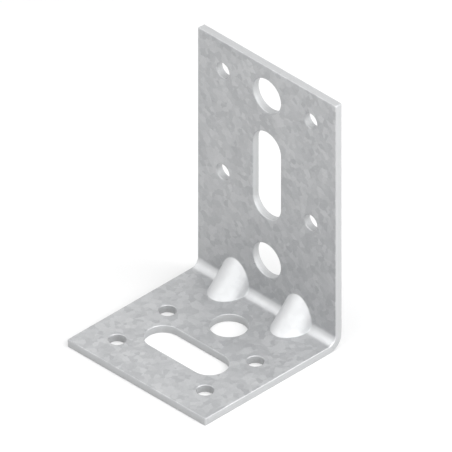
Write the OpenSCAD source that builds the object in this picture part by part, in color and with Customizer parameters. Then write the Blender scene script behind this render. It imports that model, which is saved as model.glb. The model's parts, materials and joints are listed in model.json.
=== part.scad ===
// Reinforced angle bracket: one piece of galvanised steel sheet, punched, folded through 90 degrees
// and pressed at the fold into two gussets. All lengths are in millimetres.

/* [Sheet] */
// Thickness of the steel sheet
sheet_t = 2.5; // [1.5:0.25:3]
// Inside radius of the fold
bend_r = 2.5; // [1.5:0.25:4]
// Width of both legs, along the fold
width = 55; // [50:1:90]
// Height of the wall leg, over the outside faces
wall_h = 84.2; // [82:0.1:140]
// Depth of the base leg, over the outside faces
base_d = 54.5; // [53:0.1:100]

/* [Gussets] */
// Width of each gusset, over its round back
gusset_w = 11; // [9:0.5:13]
// Height of a gusset's crest over the sharp inside corner, square to the crest
gusset_h = 6.6; // [5.5:0.1:8]
// Distance between the two gussets' centres
gusset_pitch = 25; // [20:0.5:34]

/* [Nail holes] */
// Diameter of a nail hole
nail_d = 5; // [3:0.5:6]
// Distance from a side edge to the nail holes
nail_side = 10; // [6:0.5:12]
// Distance from a leg's free edge to its first pair of nail holes
nail_end = 10; // [6:0.5:12]
// Distance between the two pairs of nail holes in the wall leg
wall_nail_pitch = 35; // [20:0.5:38]
// Distance between the two pairs of nail holes in the base leg
base_nail_pitch = 20; // [14:0.5:22]

/* [Bolt holes] */
// Diameter of a round bolt hole
bolt_d = 11; // [8:0.5:13]
// Distance from the outside corner to the bolt hole beside the fold, in both legs
bolt_corner = 17.5; // [17:0.5:19]
// Distance from the wall leg's free edge to its upper bolt hole
bolt_end = 10; // [8:0.5:12]

/* [Slots] */
// Width of the slots
slot_w = 11; // [8:0.5:13]
// Length of the slots, end to end
slot_l = 29.5; // [20:0.5:34]
// Distance from the wall leg's free edge to the centre of its slot
wall_slot_end = 37.4; // [35:0.1:40]
// Distance from the base leg's free edge to the centre of its slot
base_slot_end = 20; // [18:0.5:22]

/* [Hidden] */
$fn = 96;

steel_colour = [0.76, 0.77, 0.78];

// Everything below is drawn from the sharp inside corner: X runs along the fold, the base leg
// lies towards -Y and the wall leg stands up +Z, so the inside faces are y = 0 and z = 0.
inside_y = base_d / 2 - sheet_t;
base_free_y = sheet_t - base_d;
wall_free_z = wall_h - sheet_t;
clear = 1; // how far a cutter stands out of what it cuts
cut_l = sheet_t + 2 * clear;

// A gusset is a ridge that crosses the inside corner at 45 degrees. Heights over the corner are
// measured square to its crest.
gusset_r = gusset_w / 2;
axis_h = gusset_h - gusset_r;
fold_end_h = bend_r / sqrt(2);
arch_steps = 12;
fold_steps = 5;
round_steps = 5;
// The rounded mouth of the hollow leaves the outside faces at this angle, just short of tangent
mouth_angle = 9;
mouth_run = 1.2;
far_corner = sheet_t + clear;

function unit(v) = v / norm(v);

// Half the ridge's width at height h: round over its axis, straight below it
function ridge_x(h) = h > axis_h ? sqrt(max(0, gusset_r ^ 2 - (h - axis_h) ^ 2)) : gusset_r;

// Direction that faces away from the ridge's back at height h, on its +X side
function ridge_normal(h) =
    let (rise = max(0, h - axis_h))
    unit([ridge_x(h), -rise / sqrt(2), rise / sqrt(2)]);

// How far the inside of the fold lies along the 45 degree line at height h
function fold_run(h) = sqrt(max(0, bend_r ^ 2 - (bend_r * sqrt(2) - h) ^ 2));

// Foot of the ridge at height h, on the +X side of the base leg or of the fold beside it
function foot(h) = h >= fold_end_h
    ? [ridge_x(h), -h * sqrt(2), 0]
    : [ridge_x(h), (-h - fold_run(h)) / sqrt(2), (h - fold_run(h)) / sqrt(2)];

// Direction that faces out of the sheet at that foot
function foot_normal(h) = h >= fold_end_h
    ? [0, 0, 1]
    : unit([0, -bend_r, bend_r] - [0, foot(h).y, foot(h).z]);

// Section of the hollow at height h, from outside the sheet, round its mouth and up to the
// hollow's roof: everything one sheet thickness away from the foot, with the mouth rounded
function mouth(h) =
    let (
        n0 = foot_normal(h),
        n1 = ridge_normal(h),
        turn = acos(n0 * n1),
        p = foot(h),
        dir = function (a) (sin(turn - a) * n0 + sin(a) * n1) / sin(turn),
        slope = (cos(mouth_angle) * n1 - cos(turn - mouth_angle) * n0) / sin(turn)
    )
    concat(
        [p - sheet_t * dir(mouth_angle) + mouth_run * slope],
        [for (i = [0:round_steps])
            p - sheet_t * dir(mouth_angle + (turn - mouth_angle) * i / round_steps)]
    );

// Heights of the sections on one side of a gusset, from the fold's middle up to the crest
crest_to_axis = [for (i = [0:arch_steps]) axis_h + gusset_r * sin(90 * i / arch_steps)];
fold_heights = [for (i = [0:fold_steps - 1])
    bend_r * sqrt(2) - bend_r * cos(45 * i / fold_steps)];
arch_heights = [for (h = crest_to_axis) if (h > fold_end_h + 0.05) h];
side_heights = concat(fold_heights, [fold_end_h], arch_heights);

// A point on the base leg's side goes to the wall leg's side, across the 45 degree line
function across(p) = [p.x, -p.z, -p.y];
function with_side(p, side) = [side * p.x, p.y, p.z];

// One closed section through the hollow's cutter: past the outside corner, along the base leg's
// side and back along the wall leg's side
function hollow_ring(h, side) =
    let (half = [for (p = mouth(h)) with_side(p, side)])
    concat(
        [[half[0].x, far_corner, -far_corner]],
        half,
        [for (i = [len(half) - 1:-1:0]) across(half[i])]
    );

// Cutter for the hollow behind one gusset, lofted through its sections from side to side
module hollow() {
    left = [for (h = side_heights) hollow_ring(h, -1)];
    right = [for (i = [len(side_heights) - 2:-1:0]) hollow_ring(side_heights[i], 1)];
    rings = concat(left, right);
    n = len(rings[0]);
    last = len(rings) - 1;
    // the first and last sections are folded flat, so their two sides share their points
    function id(r, i) = r * n + ((r == 0 || r == last) && i > n / 2 ? n - i : i);
    function triangle(a, b, c) = a == b || b == c || c == a ? [] : [[a, b, c]];
    faces = [for (r = [0:last - 1], i = [0:n - 1])
        let (
            j = (i + 1) % n,
            a = id(r, i),
            b = id(r, j),
            c = id(r + 1, j),
            d = id(r + 1, i)
        )
        each concat(triangle(a, b, c), triangle(a, c, d))];
    polyhedron(points = [for (ring = rings) each ring], faces = faces);
}

// Area on the inner side of the fold, grown past the inside faces; x and y here are Y and Z
module inner_side(grow) {
    translate([base_free_y, bend_r]) square([grow - base_free_y, wall_free_z - bend_r]);
    translate([base_free_y, -grow]) square([-bend_r - base_free_y, wall_free_z + grow]);
    translate([-bend_r, bend_r]) circle(bend_r + grow);
}

// Draws a section in Y and Z, and pulls it along X by l, equally to both sides
module along_fold(l) {
    rotate([90, 0, 90]) linear_extrude(l, center = true) children();
}

// The sheet, folded and not yet punched or pressed
module folded_sheet() {
    along_fold(width) difference() {
        inner_side(sheet_t);
        inner_side(0);
    }
}

// The round back of one gusset, run across the corner and ended inside the sheet
module ridge() {
    l = 4 * gusset_h + 4 * bend_r;
    intersection() {
        rotate([-45, 0, 0]) translate([0, 0, -l / 2]) linear_extrude(l) {
            translate([0, -axis_h]) circle(gusset_r);
            translate([-gusset_r, -axis_h]) square([2 * gusset_r, gusset_h + sheet_t]);
        }
        along_fold(width) inner_side(sheet_t / 2);
    }
}

module slot(l, w) {
    square([l - w, w], center = true);
    for (side = [-1, 1]) translate([side * (l - w) / 2, 0]) circle(d = w);
}

// Places a cutter on the wall leg, this far down from its free edge
module in_wall(x, down) {
    translate([x, -clear, wall_free_z - down]) rotate([-90, 0, 0]) children();
}

// Places a cutter on the base leg, this far in from its free edge
module in_base(x, in) {
    translate([x, base_free_y + in, -sheet_t - clear]) children();
}

module nail_holes() {
    for (x = [-1, 1] * (width / 2 - nail_side)) {
        for (down = [nail_end, nail_end + wall_nail_pitch])
            in_wall(x, down) cylinder(d = nail_d, h = cut_l);
        for (in = [nail_end, nail_end + base_nail_pitch])
            in_base(x, in) cylinder(d = nail_d, h = cut_l);
    }
}

module bolt_holes() {
    for (down = [bolt_end, wall_h - bolt_corner])
        in_wall(0, down) cylinder(d = bolt_d, h = cut_l);
    in_base(0, base_d - bolt_corner) cylinder(d = bolt_d, h = cut_l);
}

module slots() {
    in_wall(0, wall_slot_end) rotate(90) linear_extrude(cut_l) slot(slot_l, slot_w);
    in_base(0, base_slot_end) linear_extrude(cut_l) slot(slot_l, slot_w);
}

// The finished bracket, set down on its base leg with its origin under the middle of its box
module bracket() {
    color(steel_colour) translate([0, inside_y, sheet_t]) difference() {
        union() {
            folded_sheet();
            for (side = [-1, 1]) translate([side * gusset_pitch / 2, 0, 0]) ridge();
        }
        for (side = [-1, 1]) translate([side * gusset_pitch / 2, 0, 0]) hollow();
        nail_holes();
        bolt_holes();
        slots();
    }
}

bracket();
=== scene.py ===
import json
import math
from typing import NamedTuple

import bmesh
import bpy
from bpy.props import FloatProperty, FloatVectorProperty, IntProperty, PointerProperty
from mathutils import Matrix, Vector


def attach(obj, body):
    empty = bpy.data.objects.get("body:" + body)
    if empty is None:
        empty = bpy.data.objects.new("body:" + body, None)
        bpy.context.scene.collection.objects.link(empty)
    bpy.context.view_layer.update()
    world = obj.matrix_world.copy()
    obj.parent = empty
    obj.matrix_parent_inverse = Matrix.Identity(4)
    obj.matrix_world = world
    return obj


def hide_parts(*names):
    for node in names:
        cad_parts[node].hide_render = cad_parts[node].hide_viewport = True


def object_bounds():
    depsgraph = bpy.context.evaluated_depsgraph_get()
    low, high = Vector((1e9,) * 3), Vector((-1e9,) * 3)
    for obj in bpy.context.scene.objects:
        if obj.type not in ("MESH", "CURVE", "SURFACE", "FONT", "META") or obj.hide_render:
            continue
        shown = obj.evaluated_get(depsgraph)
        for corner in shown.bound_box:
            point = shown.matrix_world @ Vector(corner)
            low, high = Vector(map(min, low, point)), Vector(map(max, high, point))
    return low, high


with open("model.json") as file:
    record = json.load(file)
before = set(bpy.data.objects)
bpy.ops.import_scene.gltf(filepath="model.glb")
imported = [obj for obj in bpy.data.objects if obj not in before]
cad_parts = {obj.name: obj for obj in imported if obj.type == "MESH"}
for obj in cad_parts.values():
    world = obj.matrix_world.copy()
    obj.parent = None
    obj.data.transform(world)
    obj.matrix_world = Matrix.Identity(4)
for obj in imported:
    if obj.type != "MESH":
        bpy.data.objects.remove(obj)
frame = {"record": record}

bl_info = {
    "name": "Reinforced Angle Bracket",
    "version": (1, 0, 0),
    "blender": (4, 5, 0),
    "location": "3D Viewport > Sidebar > Bracket",
    "description": "Punches, folds, presses and galvanises a bracket in the place of its packed solid",
    "category": "Object",
}

MM = 0.001
NODE = "bracket"
BODY = "root"
LOW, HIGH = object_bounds()
MOUNTS = {mount["name"]: mount for mount in frame["record"]["mounts"]}
# Vertices this close are one vertex
WELD = 0.002 * MM

# The sheet folds square. Both legs lie on the inner side of this angle.
FOLD_ANGLE = math.pi / 2
# Which way each slot runs on the blank, as (along the fold, across the fold)
SLOT_RUNS = {"wall_slot": Vector((0, 1)), "base_slot": Vector((1, 0))}
# Direction from the sharp inside corner out along a gusset's height
CREST_OUT = Vector((0, -1, 1)).normalized()

# Steps round a corner of the blank, round the punch's roll and round the edge on the die's side
CORNER_STEPS = 6
ROLL_STEPS = 5
DIE_STEPS = 2
# Steps round half a hole, and the length in its radius for which it has one more
HOLE_STEPS = 18
HOLE_STEP_RADIUS = 0.2 * MM
# Depth over which the torn band falls back from the smooth one
TEAR_DEPTH = 0.3 * MM
# Steps round a gusset's back on one leg, up its foot and along its crest
BACK_STEPS = 28
FOOT_STEPS = 6
CREST_STEPS = 6
# The press pulls the skin at the top of a gusset's foot this share closer to the fold
PULL_IN = 0.08
# How much harder the press draws the middle of the crest than its ends
CREST_DRAW = 0.6

# Real sizes of the patterns in the coat and on the cut edges, in millimetres. A crystal's border
# swings by BORDER_SWING in waves of BORDER_WAVE.
BORDER_WAVE = 1.25
BORDER_SWING = 1.1
FEATHER_LENGTH = 1.4
FEATHER_WIDTH = 0.2
CLOUD = 11
ROLLING_LINE_LENGTH = 33
ROLLING_LINE_WIDTH = 0.4
DRAG_MARK_LENGTH = 2.5
DRAG_MARK_WIDTH = 0.16
TEAR_GRAIN = 0.25
# How far the border between the sheared band and the torn one wanders
LAND_WANDER = 0.5
# How far inside the fold's ends the band of drawn zinc, partly a painted highlight along the fold, is in
# full, and how far past them it ends
NOSE_HIGHLIGHT_INSIDE = 0.6
NOSE_HIGHLIGHT_OUTSIDE = 0.3
# Depths at which the look of a cut edge starts and is full, from the punch's side and the die's
PUNCH_RIM = (0.05, 0.3)
DIE_RIM = (0.02, 0.14)

# How much feathers and clouds count beside a crystal's own shade, and the sums of the three at
# which the coat is dull and bright
FEATHER_SHADE = 1.4
CLOUD_SHADE = 0.9
DULL_SUM = 0.75
BRIGHT_SUM = 2.45
# Share of the pale colour of press-drawn zinc, partly a painted highlight, where the press has fully drawn
# the zinc
RUBBED_AND_HIGHLIGHT_SHARE = 0.9
# How far a crystal, a cloud, a rolling line and the press can change the roughness
CRYSTAL_GLOSS = 0.10
CLOUD_GLOSS = 0.10
LINE_GLOSS = 0.04
PRESS_GLOSS = 0.08
# How far the crystals tilt the light, as they grew and where the press has flattened them
CRYSTAL_TILT = 0.07
PRESSED_TILT = 0.015
# Roughness of the sheared band and of the torn one
SHEARED_ROUGHNESS = 0.6
TORN_ROUGHNESS = 0.7
BUMP_STRENGTH = 0.35
# Middle of a texture's random colours
MIDDLE_COLOUR = (0.5, 0.5, 0.5)

# Softboxes: name, azimuth to the bracket's right and elevation in degrees, and brightness
LAMPS = (
    ("front softbox", -20, 55, 1.2),
    ("overhead softbox", 0, 90, 1.0),
    ("right softbox", 90, 30, 1.95),
    ("right rear softbox", 115, 30, 1.4),
)
LAMP_DISTANCE = 0.7
LAMP_SIDE = 0.8
# The floor lies this far under the bracket, so that the two never share a plane
FLOOR_GAP = 0.02 * MM
CAMERA_DISTANCE = 0.3
CAMERA_CLIP = (0.01, 10.0)


def linear(hex_colour):
    """An sRGB hex colour as the linear RGBA that Blender's sockets take."""
    channels = [int(hex_colour[i:i + 2], 16) / 255 for i in (1, 3, 5)]
    return [c / 12.92 if c <= 0.04045 else ((c + 0.055) / 1.055) ** 2.4 for c in channels] + [1.0]


def towards(azimuth, elevation):
    """Direction at these angles, turned from the bracket's front to its right and up from level."""
    level = math.cos(elevation)
    return Vector((math.sin(azimuth) * level, -math.cos(azimuth) * level, math.sin(elevation)))


def length(name, description, default, least=0.0):
    """A property that holds a length in metres."""
    return FloatProperty(name=name, description=description, default=default, unit="LENGTH",
                         subtype="DISTANCE", precision=5, min=least)


def angle(name, description, default):
    """A property that holds an angle in radians."""
    return FloatProperty(name=name, description=description, default=default, unit="ROTATION",
                         subtype="ANGLE")


def strength(name, description, default):
    """A property that holds how strong a light is."""
    return FloatProperty(name=name, description=description, default=default, min=0.0)


def share(name, description, default):
    """A property that holds a share from 0 to 1."""
    return FloatProperty(name=name, description=description, default=default, subtype="FACTOR",
                         min=0.0, max=1.0)


def count(name, description, default, least):
    """A property that holds a whole number."""
    return IntProperty(name=name, description=description, default=default, min=least)


def colour(name, description, hex_colour):
    """A property that holds a linear colour."""
    return FloatVectorProperty(name=name, description=description, default=linear(hex_colour),
                               subtype="COLOR", size=4, min=0.0, max=1.0)


class BracketSheetSizes(bpy.types.PropertyGroup):
    """Sizes of the punched and folded sheet, and of the gussets pressed into its fold."""

    width: length("Width", "Size of both legs along the fold", HIGH.x - LOW.x)
    depth: length("Depth", "Base leg's size over the outside faces", HIGH.y - LOW.y)
    height: length("Height", "Wall leg's size over the outside faces", HIGH.z - LOW.z)
    thickness: length("Thickness", "Sheet thickness", MOUNTS["base_bolt"]["dims"]["length_mm"] * MM)
    fold_radius: length("Fold radius", "Inside radius of the fold", 2.5 * MM)
    fold_rows: count("Fold rows", "Rows of faces round the fold", 20, 4)
    corner_radius: length("Corner radius", "Radius of the blank's corners, seen from above", 0.4 * MM)
    gusset_radius: length("Gusset radius", "Radius of a gusset's round back", 5.5 * MM)
    gusset_axis: length("Gusset axis", "Height of a gusset's axis over the sharp inside corner", 1.1 * MM)
    gusset_foot: length("Gusset foot", "Radius in the foot of a gusset", 0.45 * MM)
    gusset_pitch: length("Gusset pitch", "Distance between two gussets", 25 * MM)
    gussets: count("Gussets", "How many gussets the fold has", 2, 1)
    punch_roll: length("Punch roll", "Radius that the punch draws the sheet down to", 0.32 * MM)
    punch_land: length("Punch land", "Depth of the smooth band that the punch shears", 1.05 * MM)
    punch_taper: length("Punch taper", "How far the torn band falls back from the smooth one", 0.07 * MM)
    die_break: length("Die break", "Radius of the edge on the die's side", 0.12 * MM)

    @property
    def half_fold(self):
        """Half the length of sheet in the fold, along its inside."""
        return self.fold_radius * FOLD_ANGLE / 2

    @property
    def base_end(self):
        """Where the base leg ends on the blank."""
        return -self.half_fold - (self.depth - self.thickness - self.fold_radius)

    @property
    def wall_end(self):
        """Where the wall leg ends on the blank."""
        return self.half_fold + (self.height - self.thickness - self.fold_radius)

    @property
    def corner(self):
        """The sharp inside corner, in the row frame, midway along the fold."""
        return Vector(((LOW.x + HIGH.x) / 2, HIGH.y - self.thickness, LOW.z + self.thickness))

    @property
    def edge_insets(self):
        """How far the two skins stop short of a cut edge, by their depth in the sheet."""
        return {0.0: self.punch_roll, self.thickness: self.punch_taper + self.die_break}

    @property
    def fold_places(self):
        """The rows of the fold on the blank, from the base leg to the wall leg."""
        return [self.half_fold * (2 * i / self.fold_rows - 1) for i in range(self.fold_rows + 1)]

    @property
    def gusset_places(self):
        """Where the gussets stand along the fold."""
        return [self.gusset_pitch * (i - (self.gussets - 1) / 2) for i in range(self.gussets)]


class BracketZinc(bpy.types.PropertyGroup):
    """Look of the zinc coat."""

    bright: colour("Bright crystals", "Colour of the zinc crystals that face the light", "#BDBEBF")
    dull: colour("Dull crystals", "Colour of the other zinc crystals", "#A2A3A5")
    # Partly a painted highlight: this pale colour lights up the gussets' backs and the fold band, beside
    # the real paling of zinc that the press rubs
    rubbed_zinc_and_highlight: colour("Rubbed zinc", "Colour of the zinc that the press has drawn", "#CECFD0")
    edge: colour("Cut edge", "Colour of the thin zinc over a cut edge", "#B7B8B9")
    spangle: length("Spangle", "Distance across a zinc crystal", 1.8 * MM)
    grain: length("Grain", "Distance between the bumps of the skin-passed surface", 0.4 * MM)
    relief: length("Relief", "Height of the bumps", 0.04 * MM)
    roughness: share("Roughness", "Roughness of the zinc coat", 0.50)
    metal: share("Metal", "How metallic the coat is, under its dull skin of oxide", 0.7)


class BracketStage(bpy.types.PropertyGroup):
    """The floor, the light and the camera."""

    floor: colour("Floor", "Colour of the floor", "#E0E0E0")
    floor_size: length("Floor size", "Length of the floor's sides", 4.0)
    near_glow: strength("Near glow", "White added to the floor seen round the bracket", 0.14)
    far_glow: strength("Far glow", "White added to the floor seen past the lamps", 0.75)
    near: length("Near", "How far from the origin the near glow reaches", 0.2)
    far: length("Far", "How far from the origin the far glow is full", 0.6)
    fill: strength("Fill", "Strength of the light from all round", 0.34)
    view_width: length("View width", "Width of the picture at the bracket", 127.37 * MM)
    aim_y: length("Aim Y", "Middle of the picture, from the origin along Y", 8.576 * MM, -1.0)
    aim_z: length("Aim Z", "Middle of the picture, over the floor", 37.44 * MM, -1.0)
    azimuth: angle("Azimuth", "Turn of the camera to the bracket's right", math.radians(45))
    elevation: angle("Elevation", "Angle of the camera over the horizon", math.atan(math.sqrt(0.5)))


def socket(sockets, key):
    """One of a node's sockets in use, by its place or by its name."""
    in_use = [s for s in sockets if s.enabled]
    return in_use[key] if isinstance(key, int) else next(s for s in in_use if s.name == key)


def add(tree, kind, feeds=None, **settings):
    """Adds a node with these settings. Feeds are values or other nodes' outputs, by input."""
    made = tree.nodes.new(kind)
    made.location.x = 200 * len(tree.nodes)
    for name, value in settings.items():
        setattr(made, name, value)
    for key, value in (feeds or {}).items():
        target = socket(made.inputs, key)
        if isinstance(value, bpy.types.Node):
            value = socket(value.outputs, 0)
        if isinstance(value, bpy.types.NodeSocket):
            tree.links.new(value, target)
        else:
            target.default_value = value
    return made


def geometry_tree(name, named_inputs):
    """Starts a Geometry Nodes tree: a geometry, a material and these other inputs go in by name."""
    tree = bpy.data.node_groups.new(name, "GeometryNodeTree")
    tree.interface.new_socket("Geometry", in_out="INPUT", socket_type="NodeSocketGeometry")
    tree.interface.new_socket("Geometry", in_out="OUTPUT", socket_type="NodeSocketGeometry")
    for label, kind in {**named_inputs, "Coat": "NodeSocketMaterial"}.items():
        tree.interface.new_socket(label, in_out="INPUT", socket_type=kind)
    return tree, add(tree, "NodeGroupInput").outputs


def end_tree(tree, given, geometry):
    """Ends a tree with real geometry in the given material."""
    real = add(tree, "GeometryNodeRealizeInstances", {"Geometry": geometry})
    coated = add(tree, "GeometryNodeSetMaterial", {"Geometry": real, "Material": given["Coat"]})
    add(tree, "NodeGroupOutput", {"Geometry": coated})
    return tree


def run_tree(source, tree, values):
    """Runs a tree on an object and gives what comes out as a plain mesh. The object goes."""
    modifier = source.modifiers.new(tree.name, "NODES")
    modifier.node_group = tree
    for item in tree.interface.items_tree:
        if item.name in values:
            modifier[item.identifier] = values[item.name]
    mesh = evaluated_mesh(source)
    bpy.data.objects.remove(source)
    return mesh


def evaluated_mesh(source):
    """A plain copy of an object's mesh as its modifiers leave it."""
    graph = bpy.context.evaluated_depsgraph_get()
    return bpy.data.meshes.new_from_object(source.evaluated_get(graph), preserve_all_data_layers=True,
                                           depsgraph=graph)


def new_object(name, data):
    """Puts data into the scene as an object at the origin."""
    made = bpy.data.objects.new(name, data)
    bpy.context.scene.collection.objects.link(made)
    return made


def arc(centre, radius, start, sweep, steps):
    """Points along an arc, with both its ends."""
    angles = [start + sweep * i / steps for i in range(steps + 1)]
    return [centre + radius * Vector((math.cos(a), math.sin(a))) for a in angles]


def line_object(name, lines, closed):
    """A curve object with one straight-sided spline for each list of (x, y) points."""
    curve = bpy.data.curves.new(name, "CURVE")
    curve.dimensions = "3D"
    for points in lines:
        spline = curve.splines.new("POLY")
        spline.points.add(len(points) - 1)
        for knot, point in zip(spline.points, points):
            knot.co = (point[0], point[1], 0, 1)
        spline.use_cyclic_u = closed
    return new_object(name, curve)


def blank_outline(sheet):
    """The blank's edge, anticlockwise, with a point at each row of the fold."""
    r = sheet.corner_radius
    side = sheet.width / 2 - r
    quarter = math.pi / 2
    rows = sheet.fold_places
    right = [Vector((sheet.width / 2, s)) for s in rows]
    left = [Vector((-sheet.width / 2, s)) for s in reversed(rows)]
    return (arc(Vector((side, sheet.base_end + r)), r, -quarter, quarter, CORNER_STEPS) + right
            + arc(Vector((side, sheet.wall_end - r)), r, 0, quarter, CORNER_STEPS)
            + arc(Vector((-side, sheet.wall_end - r)), r, quarter, quarter, CORNER_STEPS) + left
            + arc(Vector((-side, sheet.base_end + r)), r, 2 * quarter, quarter, CORNER_STEPS))


def place_on_blank(sheet, mount):
    """Where a mount's middle lies on the blank."""
    x, y, z = Vector(mount["pos_m"]) - sheet.corner
    in_base_leg = abs(mount["axis"][2]) > 0.5
    if in_base_leg:
        return Vector((x, y + sheet.fold_radius - sheet.half_fold))
    return Vector((x, z - sheet.fold_radius + sheet.half_fold))


def half_hole_steps(radius):
    """Steps round half a hole. A wide hole has more of them."""
    return round(HOLE_STEPS + radius / HOLE_STEP_RADIUS)


def slot_outline(centre, radius, run):
    """The edge of a slot, clockwise. Its round ends lie one run ahead of its centre and one behind."""
    steps = half_hole_steps(radius)
    start = math.atan2(run.y, run.x) + math.pi / 2
    return (arc(centre + run, radius, start, -math.pi, steps)
            + arc(centre - run, radius, start - math.pi, -math.pi, steps))


def round_outline(centre, radius):
    """The edge of a round hole, clockwise."""
    return arc(centre, radius, 0, -math.tau, 2 * half_hole_steps(radius))[:-1]


def hole_outlines(sheet):
    """The edge of each nail hole, bolt hole and slot on the blank."""
    outlines = []
    for name, mount in MOUNTS.items():
        size = mount["dims"]
        if mount["kind"] == "flat_face":
            continue
        radius = size.get("r_mm", size.get("hole_r_mm")) * MM
        centre = place_on_blank(sheet, mount)
        if "slot_length_mm" in size:
            run = SLOT_RUNS[name] * (size["slot_length_mm"] * MM / 2 - radius)
            outlines.append(slot_outline(centre, radius, run))
            continue
        half_x, half_s = (size.get(key, 0) * MM / 2 for key in ("spacing_x_mm", "spacing_y_mm"))
        for x in sorted({-half_x, half_x}):
            for s in sorted({-half_s, half_s}):
                outlines.append(round_outline(centre + Vector((x, s)), radius))
    return outlines


def edge_profile(sheet):
    """Section of a sheared edge from skin to skin, as (out of the material, depth) points.

    The punch draws the skin down in a roll, shears a smooth land and then tears the rest off a
    little further back.
    """
    roll, die = sheet.punch_roll, sheet.die_break
    torn = -sheet.punch_taper
    rolled = arc(Vector((-roll, roll)), roll, -math.pi / 2, math.pi / 2, ROLL_STEPS)
    sheared = [Vector((0, sheet.punch_land)), Vector((torn, sheet.punch_land + TEAR_DEPTH))]
    broken = arc(Vector((torn - die, sheet.thickness - die)), die, 0, math.pi / 2, DIE_STEPS)
    return rolled + sheared + broken


def cut_edge_tree():
    """Geometry Nodes tree that sweeps the edge's section along every cut line."""
    tree, given = geometry_tree("Sheared edges", {"Section": "NodeSocketObject"})
    section = add(tree, "GeometryNodeObjectInfo", {"Object": given["Section"]})
    upright = add(tree, "GeometryNodeSetCurveNormal", {"Curve": given["Geometry"]}, mode="Z_UP")
    swept = add(tree, "GeometryNodeCurveToMesh",
                {"Curve": upright, "Profile Curve": section.outputs["Geometry"]})
    return end_tree(tree, given, swept)


class Station(NamedTuple):
    """A place on a gusset's foot, where the ball that rolls out the foot touches sheet and back."""

    # Middle of the ball
    middle: Vector
    # The way that the sheet faces there, and the way that the gusset's back does
    faces: Vector
    back: Vector
    # The foot's place across the fold on the blank
    across: float


class SkinPoint(NamedTuple):
    """A point on a gusset's skin."""

    point: Vector
    # Its place across the fold on the blank, and how hard the press has drawn the metal there
    across: float
    drawn: float


def gusset_half(sheet):
    """Stations round the base leg's half of a gusset's foot, from side to side.

    A lean is the angle at the gusset's axis between its crest and the foot.
    """
    reach = sheet.gusset_radius + sheet.gusset_foot
    r = sheet.fold_radius
    # From the leg to the fold's middle, on the gusset's right side
    in_fold = []
    for s in [place for place in sheet.fold_places if place <= 0]:
        turn = s / r
        faces = -Vector((0, math.sin(turn + FOLD_ANGLE / 2), -math.cos(turn + FOLD_ANGLE / 2)))
        rise = r * math.sqrt(2) - (r - sheet.gusset_foot) * math.cos(turn)
        lean = math.acos((rise - sheet.gusset_axis) / reach)
        middle = Vector((0, -r, r)) - (r - sheet.gusset_foot) * faces
        in_fold.append((middle, faces, lean, s))
    # On the leg's flat, from left to right round the gusset's top
    widest = in_fold[0][2]
    on_leg = []
    for lean in [widest * (2 * i / BACK_STEPS - 1) for i in range(1, BACK_STEPS)]:
        rise = sheet.gusset_axis + reach * math.cos(lean)
        y = sheet.gusset_foot - math.sqrt(2) * rise
        s = y + r - sheet.half_fold
        on_leg.append((Vector((0, y, sheet.gusset_foot)), Vector((0, 0, 1)), lean, s))
    left = [(middle, faces, -lean, s) for middle, faces, lean, s in reversed(in_fold)]
    stations = []
    for middle, faces, lean, s in left + on_leg + in_fold:
        middle = middle + Vector((reach * math.sin(lean), 0, 0))
        back = math.cos(lean) * CREST_OUT + math.sin(lean) * Vector((1, 0, 0))
        stations.append(Station(middle, faces, back, s))
    return stations


def foot_row(sheet, station, depth):
    """Points up the foot at one station, from the flat sheet to the gusset's back."""
    row = []
    for i in range(FOOT_STEPS + 1):
        t = i / FOOT_STEPS
        point = station.middle - (sheet.gusset_foot + depth) * station.faces.slerp(station.back, t)
        row.append(SkinPoint(point, station.across * (1 - PULL_IN * t), t))
    return row


def crest_row(low, high):
    """Points between two skin points, straight along the crest."""
    row = []
    for i in range(1, CREST_STEPS):
        t = i / CREST_STEPS
        across = low.across + (high.across - low.across) * t
        row.append(SkinPoint(low.point.lerp(high.point, t), across, 1 + CREST_DRAW * math.sin(math.pi * t)))
    return row


def on_wall(skin_point):
    """A skin point on the base leg's side, mirrored to the wall leg's side."""
    x, y, z = skin_point.point
    return SkinPoint(Vector((x, -z, -y)), -skin_point.across, skin_point.drawn)


def gusset_mesh(sheet):
    """One gusset, middle at X = 0, as open patches of both skins, each one thickness apart.

    The foot is the skin that a ball of the foot's radius rolls out, and the back is straight along
    the crest. Point data: the place on the blank, and how hard the press has drawn the metal.
    """
    bm = bmesh.new()
    blank = bm.verts.layers.float_vector.new("blank")
    press = bm.verts.layers.float.new("press")

    def vertex(skin_point, depth):
        made = bm.verts.new(skin_point.point)
        made[blank] = (skin_point.point.x, skin_point.across, -depth)
        made[press] = skin_point.drawn
        return made

    for depth in sheet.edge_insets:
        rows = []
        for station in gusset_half(sheet):
            base = foot_row(sheet, station, depth)
            wall = [on_wall(skin_point) for skin_point in reversed(base)]
            row = base + crest_row(base[-1], wall[0]) + wall
            rows.append([vertex(skin_point, depth) for skin_point in row])
        for near, far in zip(rows, rows[1:]):
            for i in range(len(near) - 1):
                bm.faces.new((near[i], near[i + 1], far[i + 1], far[i]))
    bmesh.ops.remove_doubles(bm, verts=bm.verts, dist=WELD)
    mesh = bpy.data.meshes.new("gusset")
    bm.to_mesh(mesh)
    bm.free()
    return mesh


def gusset_tree():
    """Geometry Nodes tree that repeats one gusset along the fold."""
    tree, given = geometry_tree("Gussets along the fold", {
        "Count": "NodeSocketInt", "First": "NodeSocketVector", "Pitch": "NodeSocketVector"})
    places = add(tree, "GeometryNodeMeshLine",
                 {"Count": given["Count"], "Start Location": given["First"], "Offset": given["Pitch"]})
    copies = add(tree, "GeometryNodeInstanceOnPoints", {"Points": places, "Instance": given["Geometry"]})
    return end_tree(tree, given, copies)


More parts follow.
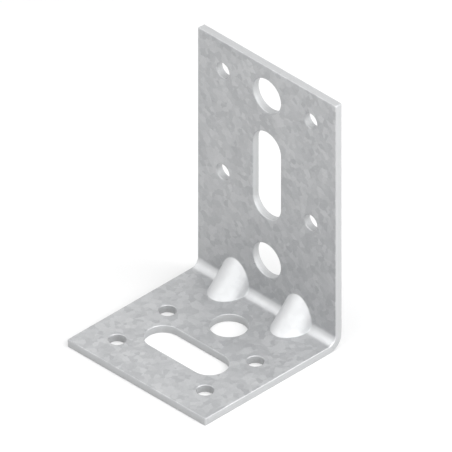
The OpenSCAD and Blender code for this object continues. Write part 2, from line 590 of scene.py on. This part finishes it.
def add_fold_skin(bm, sheet, stations, depth, inset):
    """One skin of the fold: strips between the side edges and the gussets' feet."""
    rows = sheet.fold_places
    side = sheet.width / 2 - inset
    feet = {round(st.across / WELD): st.middle.x for st in stations if st.middle.x > 0}
    for near, far in zip(rows, rows[1:]):
        strip = []
        for s in (near, far):
            foot = feet[round(-abs(s) / WELD)]
            line = [-side] + [x + dx for x in sheet.gusset_places for dx in (-foot, foot)] + [side]
            strip.append([bm.verts.new((x, s, -depth)) for x in line])
        for i in range(0, len(strip[0]), 2):
            bm.faces.new((strip[0][i], strip[0][i + 1], strip[1][i + 1], strip[1][i]))


def add_foot_lines(bm, sheet, stations, depth):
    """The gussets' feet on both legs, as lines at which a leg's skin stops."""
    fold_end = sheet.fold_places[0]
    arch = [(st.middle.x, st.across) for st in stations if st.across <= fold_end + WELD]
    for x in sheet.gusset_places:
        for leg in (1, -1):
            line = [bm.verts.new((x + dx, leg * s, -depth)) for dx, s in arch]
            for a, b in zip(line, line[1:]):
                bm.edges.new((a, b))


def add_skins(bm, sheet):
    """Closes a mesh of cut edges with the sheet's two skins, which stay open under the gussets."""
    stations = gusset_half(sheet)
    fold_end = sheet.fold_places[0]
    for depth, inset in sheet.edge_insets.items():
        add_fold_skin(bm, sheet, stations, depth, inset)
        add_foot_lines(bm, sheet, stations, depth)
    bmesh.ops.remove_doubles(bm, verts=bm.verts, dist=WELD)
    for depth in sheet.edge_insets:
        for leg in (1, -1):
            rim = [e for e in bm.edges if len(e.link_faces) < 2 and all(
                abs(v.co.z + depth) < WELD and leg * v.co.y < fold_end + WELD for v in e.verts)]
            bmesh.ops.triangle_fill(bm, edges=rim, use_beauty=True)


def fold_tree():
    """Geometry Nodes tree that folds the flat blank, sets the gussets in and welds them.

    Across the fold the sheet rolls round the fold's axis, and past it each leg goes on straight.
    """
    tree, given = geometry_tree("Fold", {
        "Inside radius": "NodeSocketFloat", "Angle": "NodeSocketFloat", "Gussets": "NodeSocketObject",
        "Inside corner": "NodeSocketVector", "Weld": "NodeSocketFloat"})
    radius = given["Inside radius"]
    place = add(tree, "GeometryNodeInputPosition")
    kept = add(tree, "GeometryNodeStoreNamedAttribute",
               {"Geometry": given["Geometry"], "Name": "blank", "Value": place},
               data_type="FLOAT_VECTOR", domain="POINT")
    along, across, up = add(tree, "ShaderNodeSeparateXYZ", {0: place}).outputs
    strip = add(tree, "ShaderNodeMath", {0: radius, 1: given["Angle"]}, operation="MULTIPLY")
    low = add(tree, "ShaderNodeMath", {0: strip, 1: -0.5}, operation="MULTIPLY")
    high = add(tree, "ShaderNodeMath", {0: strip, 1: 0.5}, operation="MULTIPLY")
    bent = add(tree, "ShaderNodeClamp", {"Value": across, "Min": low, "Max": high})
    straight = add(tree, "ShaderNodeMath", {0: across, 1: bent}, operation="SUBTRACT")
    run = add(tree, "ShaderNodeMath", {0: bent, 1: low}, operation="SUBTRACT")
    turn = add(tree, "ShaderNodeMath", {0: run, 1: radius}, operation="DIVIDE")
    from_axis = add(tree, "ShaderNodeMath", {0: up, 1: radius}, operation="SUBTRACT")
    flat = add(tree, "ShaderNodeCombineXYZ", {"X": along, "Y": straight, "Z": from_axis})
    rolled = add(tree, "ShaderNodeVectorRotate", {"Vector": flat, "Angle": turn}, rotation_type="X_AXIS")
    back = add(tree, "ShaderNodeMath", {0: radius, 1: -1}, operation="MULTIPLY")
    axis = add(tree, "ShaderNodeCombineXYZ", {"Y": back, "Z": radius})
    folded = add(tree, "ShaderNodeVectorMath", {0: rolled, 1: axis}, operation="ADD")
    sheet = add(tree, "GeometryNodeSetPosition", {"Geometry": kept, "Position": folded})
    gussets = add(tree, "GeometryNodeObjectInfo", {"Object": given["Gussets"]})
    both = add(tree, "GeometryNodeJoinGeometry", {"Geometry": sheet})
    tree.links.new(gussets.outputs["Geometry"], both.inputs["Geometry"])
    # The gussets' place on the blank was drawn for one gusset, so it still needs its shift along X
    old = add(tree, "GeometryNodeInputNamedAttribute", {"Name": "blank"}, data_type="FLOAT_VECTOR")
    on_blank = add(tree, "ShaderNodeSeparateXYZ", {0: old}).outputs
    true_place = add(tree, "ShaderNodeCombineXYZ", {"X": along, "Y": on_blank["Y"], "Z": on_blank["Z"]})
    shifted = add(tree, "GeometryNodeStoreNamedAttribute",
                  {"Geometry": both, "Name": "blank", "Value": true_place},
                  data_type="FLOAT_VECTOR", domain="POINT")
    welded = add(tree, "GeometryNodeMergeByDistance", {"Geometry": shifted, "Distance": given["Weld"]})
    placed = add(tree, "GeometryNodeTransform", {"Geometry": welded, "Translation": given["Inside corner"]})
    return end_tree(tree, given, placed)


def zinc_crystals(tree, place, zinc):
    """Crystals with wavy borders, and feathers that run one way in each.

    A crystal's random colour gives its own shade in red, its gloss in green and its turn in blue.
    """
    noise = add(tree, "ShaderNodeTexNoise", {"Vector": place, "Scale": 1 / BORDER_WAVE, "Detail": 2.0})
    swirl = add(tree, "ShaderNodeVectorMath", {0: noise.outputs["Color"], 1: MIDDLE_COLOUR},
                operation="SUBTRACT")
    wavy = add(tree, "ShaderNodeVectorMath", {0: swirl, 1: (BORDER_SWING,) * 3, 2: place},
               operation="MULTIPLY_ADD")
    crystals = add(tree, "ShaderNodeTexVoronoi", {"Vector": wavy, "Scale": MM / zinc.spangle})
    own = add(tree, "ShaderNodeSeparateColor", {"Color": crystals.outputs["Color"]})
    whirl = add(tree, "ShaderNodeMath", {0: own.outputs["Blue"], 1: math.tau}, operation="MULTIPLY")
    turned = add(tree, "ShaderNodeVectorRotate",
                 {"Vector": wavy, "Center": crystals.outputs["Position"], "Angle": whirl},
                 rotation_type="Z_AXIS")
    drawn = add(tree, "ShaderNodeVectorMath",
                {0: turned, 1: (1 / FEATHER_LENGTH, 1 / FEATHER_WIDTH, 1)}, operation="MULTIPLY")
    feathers = add(tree, "ShaderNodeTexNoise", {"Vector": drawn, "Scale": 1.0, "Detail": 3.0})
    return crystals, own, feathers


def rolling_lines(tree, place):
    """Faint lines that the mill's rolls leave, up the blank."""
    stretched = add(tree, "ShaderNodeVectorMath",
                    {0: place, 1: (1 / ROLLING_LINE_WIDTH, 1 / ROLLING_LINE_LENGTH, 1)},
                    operation="MULTIPLY")
    return add(tree, "ShaderNodeTexNoise", {"Vector": stretched, "Scale": 1.0, "Detail": 2.0})


def worked_zinc_and_highlight(tree, across, sheet):
    """How hard tools have drawn the skin: on the gussets, and where the punch's tip lay in the fold.

    The same share paints the zinc there paler, a painted highlight on the gussets' backs and along the
    fold.
    """
    press = add(tree, "ShaderNodeAttribute", attribute_name="press").outputs["Fac"]
    from_fold = add(tree, "ShaderNodeMath", {0: across}, operation="ABSOLUTE")
    fold_end = sheet.half_fold / MM
    # Painted highlight along the fold, partly real rubbing where the punch's tip lay: this band pales the
    # fold's skin
    fold_nose_and_highlight = add(tree, "ShaderNodeMapRange", {
        "Value": from_fold, "From Min": fold_end + NOSE_HIGHLIGHT_OUTSIDE, "From Max": fold_end - NOSE_HIGHLIGHT_INSIDE})
    return add(tree, "ShaderNodeMath", {0: press, 1: fold_nose_and_highlight}, operation="MAXIMUM")


def sheared_bands(tree, drop, lines, sheet):
    """1 where the sheet is cut, between its skins, and 1 on the torn band below the sheared one.

    The faint lines of the rolling make the border between the two bands wander.
    """
    back = -sheet.thickness / MM
    under = add(tree, "ShaderNodeMapRange",
                {"Value": drop, "From Min": -PUNCH_RIM[0], "From Max": -PUNCH_RIM[1]})
    over = add(tree, "ShaderNodeMapRange",
               {"Value": drop, "From Min": back + DIE_RIM[0], "From Max": back + DIE_RIM[1]})
    cut = add(tree, "ShaderNodeMath", {0: under, 1: over}, operation="MULTIPLY")
    land = -sheet.punch_land / MM
    wander = add(tree, "ShaderNodeMath", {0: lines, 1: LAND_WANDER, 2: drop}, operation="MULTIPLY_ADD")
    torn = add(tree, "ShaderNodeMapRange",
               {"Value": wander, "From Min": land + TEAR_DEPTH / MM, "From Max": land})
    return cut, torn


def coat_relief(tree, place, crystals, worked_and_highlight, cut, torn, zinc):
    """The normal that the coat's relief gives.

    Each crystal has its tilt. Over it lies skin-pass grain, drawn coarser than the real 0.1 mm so
    that it shows, and on cut edges the punch's fine drag marks and the torn metal.
    """
    middle = add(tree, "ShaderNodeVectorMath", {0: crystals.outputs["Color"], 1: MIDDLE_COLOUR},
                 operation="SUBTRACT")
    facing = add(tree, "ShaderNodeNewGeometry").outputs["Normal"]
    tilt = add(tree, "ShaderNodeMapRange",
               {"Value": worked_and_highlight, "To Min": CRYSTAL_TILT, "To Max": PRESSED_TILT})
    tilted = add(tree, "ShaderNodeVectorMath", {0: middle, 1: tilt, 2: facing},
                 operation="MULTIPLY_ADD")
    facet = add(tree, "ShaderNodeVectorMath", {0: tilted}, operation="NORMALIZE")
    grain = add(tree, "ShaderNodeTexNoise", {"Vector": place, "Scale": MM / zinc.grain, "Detail": 2.0})
    pulled = add(tree, "ShaderNodeVectorMath",
                 {0: place, 1: (1 / DRAG_MARK_WIDTH, 1 / DRAG_MARK_WIDTH, 1 / DRAG_MARK_LENGTH)},
                 operation="MULTIPLY")
    drag = add(tree, "ShaderNodeTexNoise", {"Vector": pulled, "Scale": 1.0, "Detail": 2.0})
    tear = add(tree, "ShaderNodeTexNoise", {"Vector": place, "Scale": 1 / TEAR_GRAIN, "Detail": 3.0})
    edge = add(tree, "ShaderNodeMix", {"Factor": torn, "A": drag, "B": tear}, data_type="FLOAT")
    height = add(tree, "ShaderNodeMix", {"Factor": cut, "A": grain, "B": edge}, data_type="FLOAT")
    return add(tree, "ShaderNodeBump",
               {"Height": height, "Strength": BUMP_STRENGTH, "Distance": zinc.relief, "Normal": facet})


def galvanised_steel(zinc, sheet):
    """Hot-dip galvanised steel, skin-passed, sheared and pressed.

    The eye gets a satin pale grey: faint crystals that each catch the light in their own way, with
    feathers that run one way in each, soft clouds, and faint lines along the rolling. On the
    gussets' backs and round the fold the press has drawn the zinc more matt and has flattened its
    crystals, and there the colour is paler: partly real, as the press's rubbing pales zinc, and
    partly a painted highlight. Cut edges have a thin matt zinc over a smooth sheared band and a rough
    torn one. Patterns lie on the flat blank, in millimetres, so they follow the fold.
    """
    material = bpy.data.materials.new("hot_dip_galvanised_steel")
    material.use_nodes = True
    tree = material.node_tree
    tree.nodes.clear()
    blank = add(tree, "ShaderNodeAttribute", attribute_name="blank").outputs["Vector"]
    place = add(tree, "ShaderNodeVectorMath", {0: blank, "Scale": 1 / MM}, operation="SCALE")
    on_blank = add(tree, "ShaderNodeSeparateXYZ", {0: place}).outputs
    crystals, own, feathers = zinc_crystals(tree, place, zinc)
    clouds = add(tree, "ShaderNodeTexNoise", {"Vector": place, "Scale": 1 / CLOUD, "Detail": 3.0})
    lines = rolling_lines(tree, place)
    worked_and_highlight = worked_zinc_and_highlight(tree, on_blank["Y"], sheet)
    cut, torn = sheared_bands(tree, on_blank["Z"], lines, sheet)

    # Colour: crystals, feathers and clouds mix the two zinc greys, then come the paler drawn zinc, partly a
    # painted highlight, and cut edges
    mixed = add(tree, "ShaderNodeMath", {0: feathers, 1: FEATHER_SHADE, 2: own.outputs["Red"]},
                operation="MULTIPLY_ADD")
    shade = add(tree, "ShaderNodeMath", {0: clouds, 1: CLOUD_SHADE, 2: mixed}, operation="MULTIPLY_ADD")
    even = add(tree, "ShaderNodeMapRange", {"Value": shade, "From Min": DULL_SUM, "From Max": BRIGHT_SUM})
    coat = add(tree, "ShaderNodeMix", {"Factor": even, "A": zinc.dull[:], "B": zinc.bright[:]},
               data_type="RGBA")
    # Painted highlight, partly real press rubbing: the gussets' backs and the fold band are painted paler
    # than the coat
    rub_and_highlight = add(tree, "ShaderNodeMath", {0: worked_and_highlight, 1: RUBBED_AND_HIGHLIGHT_SHARE}, operation="MULTIPLY",
              use_clamp=True)
    rubbed_zinc_and_highlight = add(tree, "ShaderNodeMix", {"Factor": rub_and_highlight, "A": coat, "B": zinc.rubbed_zinc_and_highlight[:]}, data_type="RGBA")
    skin = add(tree, "ShaderNodeMix", {"Factor": cut, "A": rubbed_zinc_and_highlight, "B": zinc.edge[:]}, data_type="RGBA")

    # Gloss: every pattern roughens the coat a little, and the two bands of a cut edge are duller
    gloss = add(tree, "ShaderNodeMath",
                {0: own.outputs["Green"], 1: CRYSTAL_GLOSS, 2: zinc.roughness - CRYSTAL_GLOSS},
                operation="MULTIPLY_ADD")
    cloudy = add(tree, "ShaderNodeMath", {0: clouds, 1: CLOUD_GLOSS, 2: gloss}, operation="MULTIPLY_ADD")
    rolled = add(tree, "ShaderNodeMath", {0: lines, 1: LINE_GLOSS, 2: cloudy}, operation="MULTIPLY_ADD")
    matted = add(tree, "ShaderNodeMath", {0: worked_and_highlight, 1: PRESS_GLOSS, 2: rolled}, operation="MULTIPLY_ADD")
    ragged = add(tree, "ShaderNodeMapRange",
                 {"Value": torn, "To Min": SHEARED_ROUGHNESS, "To Max": TORN_ROUGHNESS})
    rough = add(tree, "ShaderNodeMix", {"Factor": cut, "A": matted, "B": ragged}, data_type="FLOAT")

    relief = coat_relief(tree, place, crystals, worked_and_highlight, cut, torn, zinc)
    surface = add(tree, "ShaderNodeBsdfPrincipled",
                  {"Base Color": skin, "Metallic": zinc.metal, "Roughness": rough, "Normal": relief})
    add(tree, "ShaderNodeOutputMaterial", {"Surface": surface})
    return material


class BRACKET_OT_sheet(bpy.types.Operator):
    """Makes the bracket from its flat blank: sheared edges and skins, the fold, then the gussets"""

    bl_idname = "bracket.make_sheet"
    bl_label = "Make the bracket"

    def execute(self, context):
        sheet = context.scene.bracket_sheet
        coat = galvanised_steel(context.scene.bracket_zinc, sheet)
        edges = self.cut_edges(sheet, coat)
        bm = bmesh.new()
        bm.from_mesh(edges)
        add_skins(bm, sheet)
        bm.to_mesh(edges)
        bm.free()
        gussets = self.gussets(sheet, coat)
        folded = run_tree(new_object("blank", edges), fold_tree(), {
            "Inside radius": sheet.fold_radius, "Angle": FOLD_ANGLE, "Gussets": gussets,
            "Inside corner": sheet.corner, "Weld": WELD, "Coat": coat})
        bpy.data.objects.remove(gussets)
        piece = self.finish(folded)
        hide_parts(NODE)
        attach(piece, BODY)
        return {"FINISHED"}

    def cut_edges(self, sheet, coat):
        """The walls of the blank's outline and of every hole and slot, as a mesh."""
        section = line_object("edge_section", [edge_profile(sheet)], closed=False)
        lines = line_object("cut_lines", [blank_outline(sheet)] + hole_outlines(sheet), closed=True)
        edges = run_tree(lines, cut_edge_tree(), {"Section": section, "Coat": coat})
        bpy.data.objects.remove(section)
        return edges

    def gussets(self, sheet, coat):
        """An object that holds all gussets, drawn from the sharp inside corner."""
        first = Vector((sheet.gusset_places[0], 0, 0))
        mesh = run_tree(new_object("gusset", gusset_mesh(sheet)), gusset_tree(), {
            "Count": sheet.gussets, "First": first, "Pitch": (sheet.gusset_pitch, 0, 0), "Coat": coat})
        return new_object("gussets", mesh)

    def finish(self, folded):
        """Checks that the sheet's mesh is closed, turns its faces outward and gives it smooth rounds beside
        flat faces.
        """
        bm = bmesh.new()
        bm.from_mesh(folded)
        bmesh.ops.recalc_face_normals(bm, faces=bm.faces)
        for face in bm.faces:
            face.smooth = True
        open_edges = sum(1 for edge in bm.edges if len(edge.link_faces) != 2)
        bm.to_mesh(folded)
        bm.free()
        if open_edges:
            raise RuntimeError(f"the sheet has {open_edges} open edges")
        rough = new_object("sheet", folded)
        shading = rough.modifiers.new("Flat faces stay flat", "WEIGHTED_NORMAL")
        # At its highest weight, the widest face at a vertex gives that vertex its normal
        shading.weight = 100
        piece = new_object("pressed_sheet", evaluated_mesh(rough))
        bpy.data.objects.remove(rough)
        return piece


def seen_directly(tree):
    """1 where a ray comes from the camera or from a mirror or glass, and 0 for diffuse light."""
    path = add(tree, "ShaderNodeLightPath").outputs
    seen = path["Is Camera Ray"]
    for name in ("Is Glossy Ray", "Is Transmission Ray"):
        seen = add(tree, "ShaderNodeMath", {0: seen, 1: path[name]}, operation="MAXIMUM")
    return seen


def pale_floor(stage):
    """Pale matt paint that glows to white where it is seen, and keeps the bracket's shadow."""
    material = bpy.data.materials.new("pale_floor")
    material.use_nodes = True
    tree = material.node_tree
    tree.nodes.clear()
    place = add(tree, "ShaderNodeTexCoord").outputs["Object"]
    away = add(tree, "ShaderNodeVectorMath", {0: place}, operation="LENGTH")
    glow = add(tree, "ShaderNodeMapRange", {"Value": away, "From Min": stage.near, "From Max": stage.far,
                                            "To Min": stage.near_glow, "To Max": stage.far_glow})
    shown = add(tree, "ShaderNodeMath", {0: glow, 1: seen_directly(tree)}, operation="MULTIPLY")
    paint = add(tree, "ShaderNodeBsdfDiffuse", {"Color": stage.floor[:]})
    white = add(tree, "ShaderNodeEmission", {"Strength": shown})
    both = add(tree, "ShaderNodeAddShader", {0: paint, 1: white})
    add(tree, "ShaderNodeOutputMaterial", {"Surface": both})
    return material


class BRACKET_OT_stage(bpy.types.Operator):
    """Sets out the floor, the lamps, the world and the camera"""

    bl_idname = "bracket.set_stage"
    bl_label = "Set the stage"

    def execute(self, context):
        stage = context.scene.bracket_stage
        self.lay_floor(stage)
        self.light_world(context.scene, stage)
        self.hang_lamps()
        self.place_camera(context.scene, stage)
        context.scene.view_settings.view_transform = "Standard"
        return {"FINISHED"}

    def lay_floor(self, stage):
        """A square floor just under the bracket."""
        half = stage.floor_size / 2
        z = LOW.z - FLOOR_GAP
        mesh = bpy.data.meshes.new("floor")
        mesh.from_pydata([(-half, -half, z), (half, -half, z), (half, half, z), (-half, half, z)],
                         [], [(0, 1, 2, 3)])
        mesh.materials.append(pale_floor(stage))
        new_object("floor", mesh)

    def light_world(self, scene, stage):
        """Plain white where it is seen or mirrored, and an even fill light elsewhere."""
        scene.world = bpy.data.worlds.new("studio")
        scene.world.use_nodes = True
        tree = scene.world.node_tree
        tree.nodes.clear()
        level = add(tree, "ShaderNodeMapRange",
                    {"Value": seen_directly(tree), "To Min": stage.fill, "To Max": 1.0})
        white = add(tree, "ShaderNodeBackground", {"Color": (1, 1, 1, 1), "Strength": level})
        add(tree, "ShaderNodeOutputWorld", {"Surface": white})

    def hang_lamps(self):
        """Softboxes in front of the bracket, over it and to its right."""
        for name, azimuth, elevation, brightness in LAMPS:
            lamp = bpy.data.lights.new(name, "AREA")
            lamp.shape = "SQUARE"
            lamp.size = LAMP_SIDE
            lamp.energy = brightness * math.pi * LAMP_SIDE ** 2
            hung = new_object(name, lamp)
            away = towards(math.radians(azimuth), math.radians(elevation))
            hung.location = (LOW + HIGH) / 2 + away * LAMP_DISTANCE
            hung.rotation_euler = away.to_track_quat("Z", "Y").to_euler()
            hung.visible_camera = False

    def place_camera(self, scene, stage):
        """A camera without perspective, turned as in the drawing."""
        camera = bpy.data.cameras.new("camera")
        camera.type = "ORTHO"
        camera.ortho_scale = stage.view_width
        camera.clip_start, camera.clip_end = CAMERA_CLIP
        placed = new_object("camera", camera)
        away = towards(stage.azimuth, stage.elevation)
        placed.location = Vector((0, stage.aim_y, stage.aim_z)) + CAMERA_DISTANCE * away
        placed.rotation_euler = away.to_track_quat("Z", "Y").to_euler()
        scene.camera = placed


class BRACKET_PT_panel(bpy.types.Panel):
    """Lists the bracket's settings and operators in the sidebar"""

    bl_label = "Angle Bracket"
    bl_idname = "BRACKET_PT_panel"
    bl_space_type = "VIEW_3D"
    bl_region_type = "UI"
    bl_category = "Bracket"

    def draw(self, context):
        scene = context.scene
        self.list_settings([scene.bracket_sheet, scene.bracket_zinc], BRACKET_OT_sheet)
        self.list_settings([scene.bracket_stage], BRACKET_OT_stage)

    def list_settings(self, groups, operator):
        """A box with the settings that an operator reads, and its button."""
        box = self.layout.box()
        for settings in groups:
            for name in settings.__annotations__:
                box.prop(settings, name)
        box.operator(operator.bl_idname)


CLASSES = (BracketSheetSizes, BracketZinc, BracketStage,
           BRACKET_OT_sheet, BRACKET_OT_stage, BRACKET_PT_panel)


def register():
    for cls in CLASSES:
        bpy.utils.register_class(cls)
    bpy.types.Scene.bracket_sheet = PointerProperty(type=BracketSheetSizes)
    bpy.types.Scene.bracket_zinc = PointerProperty(type=BracketZinc)
    bpy.types.Scene.bracket_stage = PointerProperty(type=BracketStage)


def unregister():
    for name in ("bracket_sheet", "bracket_zinc", "bracket_stage"):
        delattr(bpy.types.Scene, name)
    for cls in reversed(CLASSES):
        bpy.utils.unregister_class(cls)


def main():
    """Makes the bracket and its stage."""
    register()
    bpy.ops.bracket.make_sheet()
    bpy.ops.bracket.set_stage()


if __name__ == "__main__":
    main()
